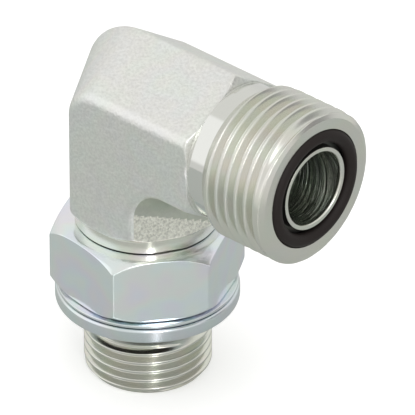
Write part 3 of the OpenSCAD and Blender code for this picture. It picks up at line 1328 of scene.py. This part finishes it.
    def build_seal(self) -> bpy.types.Object:
        """Builds the O-ring of the seal face.

        Returns:
            The object.
        """
        s, f = self.face, self.forging
        mean = s.groove_r - s.play - s.cord / 2
        x = s.face_x - s.groove_depth + s.play + s.cord / 2
        mesh = self.ring.mesh("face_seal_ring", Finish=NITRILE.material(), Radius=mean * MM,
                              Width=s.cord * MM, Height=s.cord * MM, Rounding=ROUND_SHARE * s.cord * MM,
                              Rounding_Steps=10, Steps=ROUND_STEPS, Move=(x * MM, 0.0, f.arm_height * MM),
                              Turn=(0.0, math.pi / 2, 0.0))
        return make_object("face_seal_ring", mesh)

    def build(self) -> None:
        """Builds, dresses and seats every piece of the elbow."""
        body = [self.build_forging(), self.build_face(), self.build_passages(), self.build_foot(),
                self.build_face_thread(), *self.build_stud_threads()]
        for piece in body:
            seat(piece, Body.ELBOW, "elbow_body")
        seat(self.build_seal(), Body.ELBOW, "face_seal_o_ring")


@dataclass(frozen=True)
class Locknut:
    """The hexagonal locknut."""

    size: NutSize = NutSize()

    def outline(self) -> tuple[np.ndarray, np.ndarray]:
        """Samples the hexagon with its rounded corners.

        Returns:
            The direction of each column as [x, y], and its radius.
        """
        n = self.size
        angle = np.radians(np.linspace(0, 360, 432, endpoint=False))
        fold = (angle + math.pi / 6) % (math.pi / 3) - math.pi / 6
        sharp = n.flat_r / np.cos(fold)
        centre = (n.flat_r - n.corner_r) / math.cos(math.pi / 6)
        to_corner = math.pi / 6 - np.abs(fold)
        room = np.maximum(n.corner_r ** 2 - (centre * np.sin(to_corner)) ** 2, 0)
        arc = centre * np.cos(to_corner) + np.sqrt(room)
        on_arc = n.flat_r * np.tan(np.abs(fold)) > (n.flat_r - n.corner_r) * math.tan(math.pi / 6)
        turned_by = angle + math.radians(n.turn) + math.pi / 6
        return np.stack([np.cos(turned_by), np.sin(turned_by)], axis=-1), np.where(on_arc, arc, sharp)

    @staticmethod
    def level(away: np.ndarray, radius: Union[float, np.ndarray], z: Union[float, np.ndarray]) -> np.ndarray:
        """Places one ring of the nut's columns.

        Args:
            away: Direction of each column.
            radius: Radius of each column, or of all.
            z: Height of each column, or of all.

        Returns:
            The ring as [column, xyz].
        """
        count = len(away)
        return np.column_stack([away * np.broadcast_to(radius, count)[:, None], np.broadcast_to(z, count)])

    def build(self) -> None:
        """Builds, dresses and seats the nut."""
        n = self.size
        away, rho = self.outline()
        reach = n.flat_r / math.cos(math.pi / 6) - n.face_r
        # The domed faces drop with the square of the way out to the corners.
        steps = [(n.face_r + (rho - n.face_r) * t, n.corner_drop * ((rho - n.face_r) * t / reach) ** 2)
                 for t in (0.0, 0.2, 0.4, 0.6, 0.8, 1.0)]
        mouth, seam = n.bore_r + n.bore_bevel, (n.bore_r, n.bottom_z + n.bore_seam)
        levels = ([seam, (n.bore_r, n.bottom_z + n.bore_bevel), (mouth, n.bottom_z)]
                  + [(r, n.bottom_z + drop) for r, drop in steps]
                  + [(r, n.top_z - drop) for r, drop in reversed(steps)]
                  + [(mouth, n.top_z), (n.bore_r, n.top_z - n.bore_bevel), seam])
        path = np.stack([self.level(away, *item) for item in levels], axis=1)
        radii = [0, 0.1, 0.1] + [0.02] * 5 + [0.16, 0.16] + [0.02] * 5 + [0.1, 0.1, 0]
        grid = rounded_path(path, radii, [2, 2, 4] + [1] * 5 + [16] + [1] * 5 + [4, 2, 2], 4)
        skin = Skin("locknut_hex")
        skin.loft(grid)
        seat(skin.build([NUT_ZINC]), Body.NUT, "locknut")


@dataclass(frozen=True)
class SealStack:
    """The backing washer, the retaining ring and the stud's seal ring."""

    ring: SweptRing
    size: StackSize = StackSize()

    def sweep(self, name: str, finish: Surface, inner: float, outer: float, low: float, high: float,
              rounding: float, steps: int = ROUNDING_CUTS) -> bpy.types.Object:
        """Makes a ring round the stud's axis.

        Args:
            name: The piece's name.
            finish: Its finish.
            inner: Inner radius.
            outer: Outer radius.
            low: Height of the underside.
            high: Height of the upper side.
            rounding: Rounding of the four edges.
            steps: Pieces of each rounding.

        Returns:
            The object.
        """
        mesh = self.ring.mesh(name, Finish=finish.material(), Radius=(inner + outer) / 2 * MM,
                              Width=(outer - inner) * MM, Height=(high - low) * MM, Rounding=rounding * MM,
                              Rounding_Steps=steps, Steps=ROUND_STEPS,
                              Move=(0.0, 0.0, (low + high) / 2 * MM),
                              Turn=(0.0, 0.0, 0.0))
        return make_object(name, mesh)

    def build(self) -> None:
        """Builds, dresses and seats the three rings."""
        k = self.size
        washer = self.sweep("washer_disc", RING_ZINC, k.washer_bore_r, k.washer_r, k.washer_z + k.joint,
                            k.washer_z + k.washer_t, k.washer_edge_r)
        seat(washer, Body.STACK, "backup_washer")
        ring = self.sweep("retainer", RING_ZINC, k.ring_bore_r, k.ring_r, k.ring_z, k.ring_z + k.ring_t,
                          k.ring_edge_r)
        seat(ring, Body.STACK, "retaining_ring")
        half = k.seal_cord / 2
        seal = self.sweep("stud_seal", NITRILE, k.seal_r - half, k.seal_r + half, k.seal_z - half,
                          k.seal_z + half, ROUND_SHARE * k.seal_cord, 10)
        seat(seal, Body.STACK, "stud_o_ring")


def seat(piece: bpy.types.Object, body: Body, node: str) -> None:
    """Lets a piece ride on its CAD body and stand for its CAD node.

    Args:
        piece: The piece.
        body: The CAD body.
        node: The CAD node that it stands for.
    """
    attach(piece, body.value)
    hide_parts(node)
    LOG.info("%s rides on %s: %d faces", piece.name, body.value, len(piece.data.polygons))


@dataclass(frozen=True)
class Lamp:
    """A soft rectangular light, in metres and watts."""

    name: str
    place: Place
    aim: Place
    width: float
    height: float
    watts: float

    def build(self) -> bpy.types.Object:
        """Adds the lamp.

        Returns:
            The lamp's object.
        """
        data = bpy.data.lights.new(self.name, "AREA")
        data.shape = "RECTANGLE"
        data.size, data.size_y = self.width, self.height
        data.energy = self.watts
        lamp = bpy.data.objects.new(self.name, data)
        bpy.context.scene.collection.objects.link(lamp)
        place = Vector(self.place)
        lamp.location = place
        lamp.rotation_mode = "QUATERNION"
        lamp.rotation_quaternion = (Vector(self.aim) - place).to_track_quat("-Z", "Y")
        return lamp


@dataclass(frozen=True)
class CameraSet:
    """The camera, as read from the photograph: angles in degrees, sizes in millimetres and pixels."""

    azimuth: float = 42.1
    elevation: float = 33.0
    inverse_distance: float = 0.0010
    scale: float = 7.86
    centre: Place = (12.0, 0.0, 25.0)
    pixel: tuple[float, float] = (216.6, 232.9)
    image: float = 415.0
    sensor: float = 36.0

    def build(self) -> bpy.types.Object:
        """Adds the camera.

        Returns:
            The camera's object.
        """
        a, e = math.radians(self.azimuth), math.radians(self.elevation)
        back = Vector((math.sin(a) * math.cos(e), -math.cos(a) * math.cos(e), math.sin(e)))
        distance = MM / self.inverse_distance
        data = bpy.data.cameras.new("camera")
        data.sensor_fit = "HORIZONTAL"
        data.sensor_width = self.sensor
        width = self.image / self.scale * MM
        data.lens = self.sensor * distance / width
        data.shift_x = (self.image / 2 - self.pixel[0]) / self.image
        data.shift_y = (self.pixel[1] - self.image / 2) / self.image
        data.clip_start, data.clip_end = 0.05, 20.0
        camera = bpy.data.objects.new("camera", data)
        bpy.context.scene.collection.objects.link(camera)
        camera.location = Vector(self.centre) * MM + back * distance
        camera.rotation_mode = "QUATERNION"
        camera.rotation_quaternion = (-back).to_track_quat("-Z", "Y")
        bpy.context.scene.camera = camera
        return camera


@dataclass(frozen=True)
class Card:
    """A bright or dark patch of the surroundings, with its core and reach in degrees."""

    toward: Place
    core: float
    reach: float
    level: float


@dataclass(frozen=True)
class Studio:
    """The white floor, the soft light around it and the camera, with angles in degrees."""

    cards: tuple[Card, ...] = (Card((0.76, 0.62, 0.20), 6.0, 23.0, 0.3),
                               Card((0.55, -0.35, 0.76), 8.0, 22.0, 1.35),
                               Card((-0.6, -0.66, 0.455), 29.0, 34.0, 1.07))
    low_light: Colour = (0.74, 0.74, 0.73)
    high_light: Colour = (0.82, 0.82, 0.80)
    strip_azimuth: float = 53.5
    strip_reach: float = 3.0
    strip_core: float = 0.5
    strip_level: float = 2.1
    floor_half: float = 0.15
    floor_mirrored: Colour = (0.437, 0.46, 0.447)
    floor_shown: Colour = (0.98, 0.98, 0.98)
    glow_mirrored: float = 0.10
    glow_shown: float = 0.31
    lamp: Lamp = Lamp("front", (0.52, -0.36, 0.40), (0.01, 0, 0.03), 0.16, 0.4, 0.7)

    def strip(self, g: Graph, direction: object) -> Socket:
        """Adds the upright strip to a tree.

        Args:
            g: The tree's graph.
            direction: Where the ray goes.

        Returns:
            The strip's share.
        """
        made = STRIP.use(g, Direction=direction, Azimuth=math.radians(self.strip_azimuth),
                         Reach=math.radians(self.strip_reach), Core=math.radians(self.strip_core))
        return made.outputs["Share"]

    def world(self) -> None:
        """Builds the light of the surroundings: bright above, grey below."""
        world = bpy.data.worlds.new("studio")
        bpy.context.scene.world = world
        world.use_nodes = True
        g = Graph(world.node_tree)
        shader = world.node_tree.nodes["Background"]
        where = g.add("ShaderNodeTexCoord").outputs["Generated"]
        parts = g.node("ShaderNodeSeparateXYZ", {0: where})
        height = g.ramp(parts.outputs[2], 0.0, 0.5, smooth=True)
        colour = g.mix(height, rgba(self.low_light), rgba(self.high_light))
        for card in self.cards:
            toward = g.node("ShaderNodeVectorMath", {0: where, 1: card.toward}, operation="DOT_PRODUCT")
            share = g.ramp(toward.outputs["Value"], math.cos(math.radians(card.reach)),
                           math.cos(math.radians(card.core)), smooth=True)
            colour = g.mix(share, colour, rgba((card.level,) * 3))
        colour = g.mix(self.strip(g, where), colour, rgba((self.strip_level,) * 3))
        rays = g.add("ShaderNodeLightPath")
        shown = g.mix(rays.outputs["Is Camera Ray"], colour, rgba((1.0, 1.0, 1.0)))
        g.feed(shader.inputs["Color"], shown)
        shader.inputs["Strength"].default_value = 1.0

    def floor(self) -> bpy.types.Object:
        """Builds the floor, white to the camera and grey in reflections.

        Returns:
            The floor's object.
        """
        half = self.floor_half
        mesh = bpy.data.meshes.new("floor")
        mesh.from_pydata([(-half, -half, 0), (half, -half, 0), (half, half, 0), (-half, half, 0)], [],
                         [(0, 1, 2, 3)])
        made, g, shader = open_material("floor")
        rays = g.add("ShaderNodeLightPath")
        colour = g.mix(rays.outputs["Is Camera Ray"], rgba(self.floor_mirrored), rgba(self.floor_shown))
        g.feed(shader.inputs["Base Color"], colour)
        shader.inputs["Roughness"].default_value = 1.0
        shader.inputs["Specular IOR Level"].default_value = 0.0
        g.feed(shader.inputs["Emission Color"], rgba((1.0, 1.0, 1.0)))
        arriving = g.node("ShaderNodeVectorMath", {0: g.add("ShaderNodeNewGeometry").outputs["Incoming"],
                                                   "Scale": -1.0}, operation="SCALE")
        mirrored = g.math("MULTIPLY", self.strip(g, arriving.outputs[0]), rays.outputs["Is Glossy Ray"])
        steady = g.math("ADD", g.math("MULTIPLY", rays.outputs["Is Camera Ray"], self.glow_shown),
                        g.math("MULTIPLY", rays.outputs["Is Glossy Ray"], self.glow_mirrored))
        glow = g.math("ADD", steady, g.math("MULTIPLY", mirrored, self.strip_level))
        g.feed(shader.inputs["Emission Strength"], glow)
        mesh.materials.append(made)
        floor = make_object("floor", mesh)
        floor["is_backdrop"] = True
        return floor

    def build(self) -> None:
        """Builds the world, the floor, the lamp and the camera."""
        self.world()
        self.floor()
        self.lamp.build()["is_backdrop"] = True
        CameraSet().build()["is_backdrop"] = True
        bpy.context.scene.view_settings.view_transform = "Standard"


def corners() -> list[list[float]]:
    """Measures the shown object.

    Returns:
        Its lowest and highest corner, in metres.
    """
    low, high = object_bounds()
    return [list(low), list(high)]


def main() -> None:
    """Builds the elbow, its nut and rings, and the studio."""
    logging.basicConfig(level=logging.INFO, format="%(name)s: %(message)s")
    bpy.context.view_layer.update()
    thread, ring = HelicalThread(), SweptRing()
    Elbow(thread, ring).build()
    Locknut().build()
    SealStack(ring).build()
    Studio().build()


if __name__ == "__main__":
    main()
